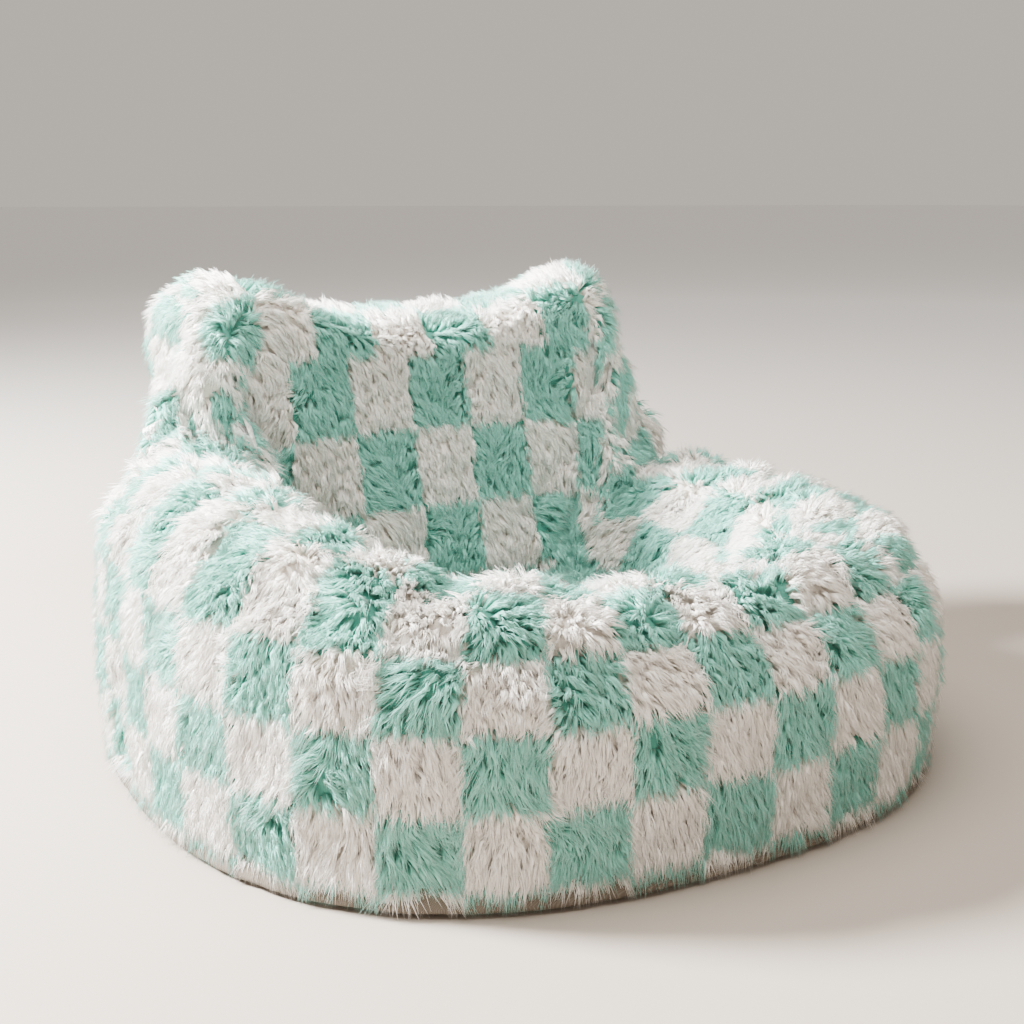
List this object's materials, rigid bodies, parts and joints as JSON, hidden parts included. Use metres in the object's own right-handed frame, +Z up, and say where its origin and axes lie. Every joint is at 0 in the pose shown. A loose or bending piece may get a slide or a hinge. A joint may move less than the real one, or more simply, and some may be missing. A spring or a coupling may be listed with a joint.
{
  "type": "bean bag chair",
  "caption": "Low plush bean bag armchair with a raised back, in mint and white check, over a zipped inner bag of fill.",
  "frame": {"origin": "on the floor, under the middle of the bag's outline", "axes": "+Z up, -Y the front that a sitter faces, +X the sitter's left"},
  "size_m": [1.016, 0.98, 0.6],
  "materials": {
    "plush": "long pile",
    "woven_base": "plain weave",
    "liner": "plain weave",
    "fill": "expanded beads",
    "mint_tape": "woven tape",
    "white_tape": "woven tape",
    "zip_metal": "satin nickel"
  },
  "bodies": {
    "bag": {"base_panel": "woven_base", "front_side_panel": "plush", "left_rear_panel": "plush", "right_rear_panel": "plush", "front_rim_panel": "plush", "left_arm_panel": "plush", "right_arm_panel": "plush", "back_rest_panel": "plush", "seat_panel": "plush", "inner_liner": "liner", "bead_fill": "fill", "cover_zip_left_tape": "mint_tape", "cover_zip_right_tape": "mint_tape", "cover_zip_left_stop": "zip_metal", "cover_zip_right_stop": "zip_metal", "cover_zip_end_stop": "zip_metal", "liner_zip_left_tape": "white_tape", "liner_zip_right_tape": "white_tape", "liner_zip_left_stop": "zip_metal", "liner_zip_right_stop": "zip_metal", "liner_zip_end_stop": "zip_metal"},
    "cover_slider": {"cover_zip_slider": "zip_metal"},
    "cover_pull": {"cover_zip_pull_tab": "zip_metal"},
    "liner_slider": {"liner_zip_slider": "zip_metal"}
  },
  "joints": [
    {"name": "cover_zip_slide", "type": "slide", "parent": "bag", "child": "cover_slider", "axis": [0, 0, 1], "range_m": [0, 0.2859]},
    {"name": "cover_pull_swing", "type": "hinge", "parent": "cover_slider", "child": "cover_pull", "pos_m": [0, 0.475, 0.0819], "axis": [1, 0, 0], "range_deg": [0, 170]},
    {"name": "liner_zip_slide", "type": "slide", "parent": "bag", "child": "liner_slider", "axis": [0, 0, 1], "range_m": [0, 0.2439]}
  ]
}
